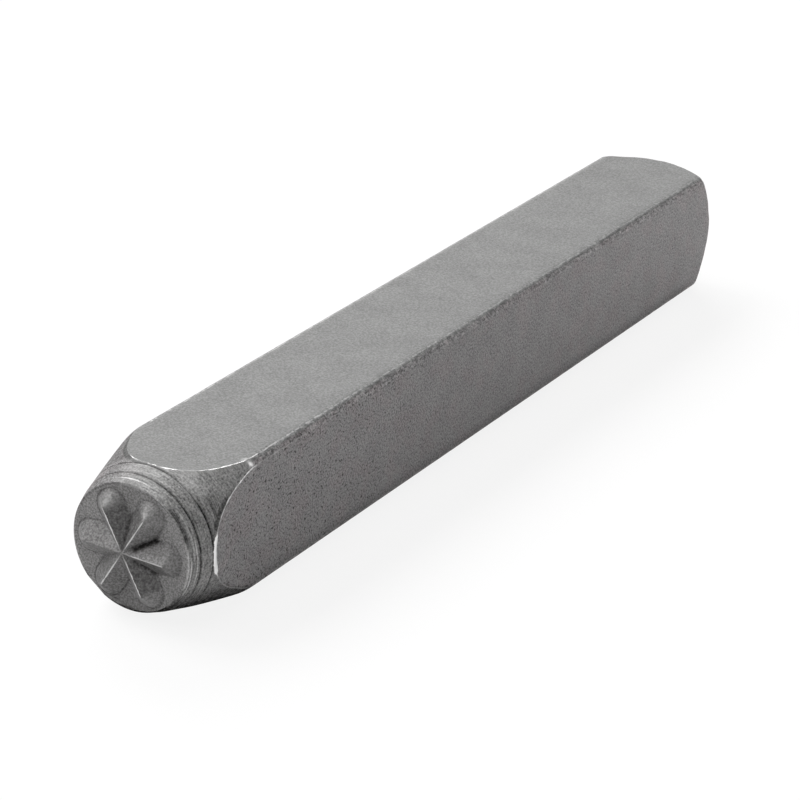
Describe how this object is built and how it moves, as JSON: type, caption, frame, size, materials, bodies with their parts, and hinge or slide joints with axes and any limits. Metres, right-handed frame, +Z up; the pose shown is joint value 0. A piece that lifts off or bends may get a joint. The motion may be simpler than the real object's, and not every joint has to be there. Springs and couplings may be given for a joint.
{
  "type": "marking stamp",
  "caption": "Steel marking stamp with a milled square shank, a turned conical nose that carries a raised flower mark, and a chamfered end to strike with a hammer.",
  "frame": {"origin": "under the centre of the stamp's bounding box, level with the lowest point of the nose, which stands 0.37 mm proud of the lower flat", "axes": "+Y along the stamp's axis from the marking face to the struck end, +Z up and square to the upper flat, +X square to the right-hand flat"},
  "size_m": [0.0088, 0.065, 0.0087],
  "materials": {
    "tool_steel": "hardened tool steel, matt grey, fine blasted grain on the shank, turning lines on the nose, edges worn bright"
  },
  "bodies": {
    "root": {"marking_stamp": "tool_steel"}
  },
  "joints": []
}
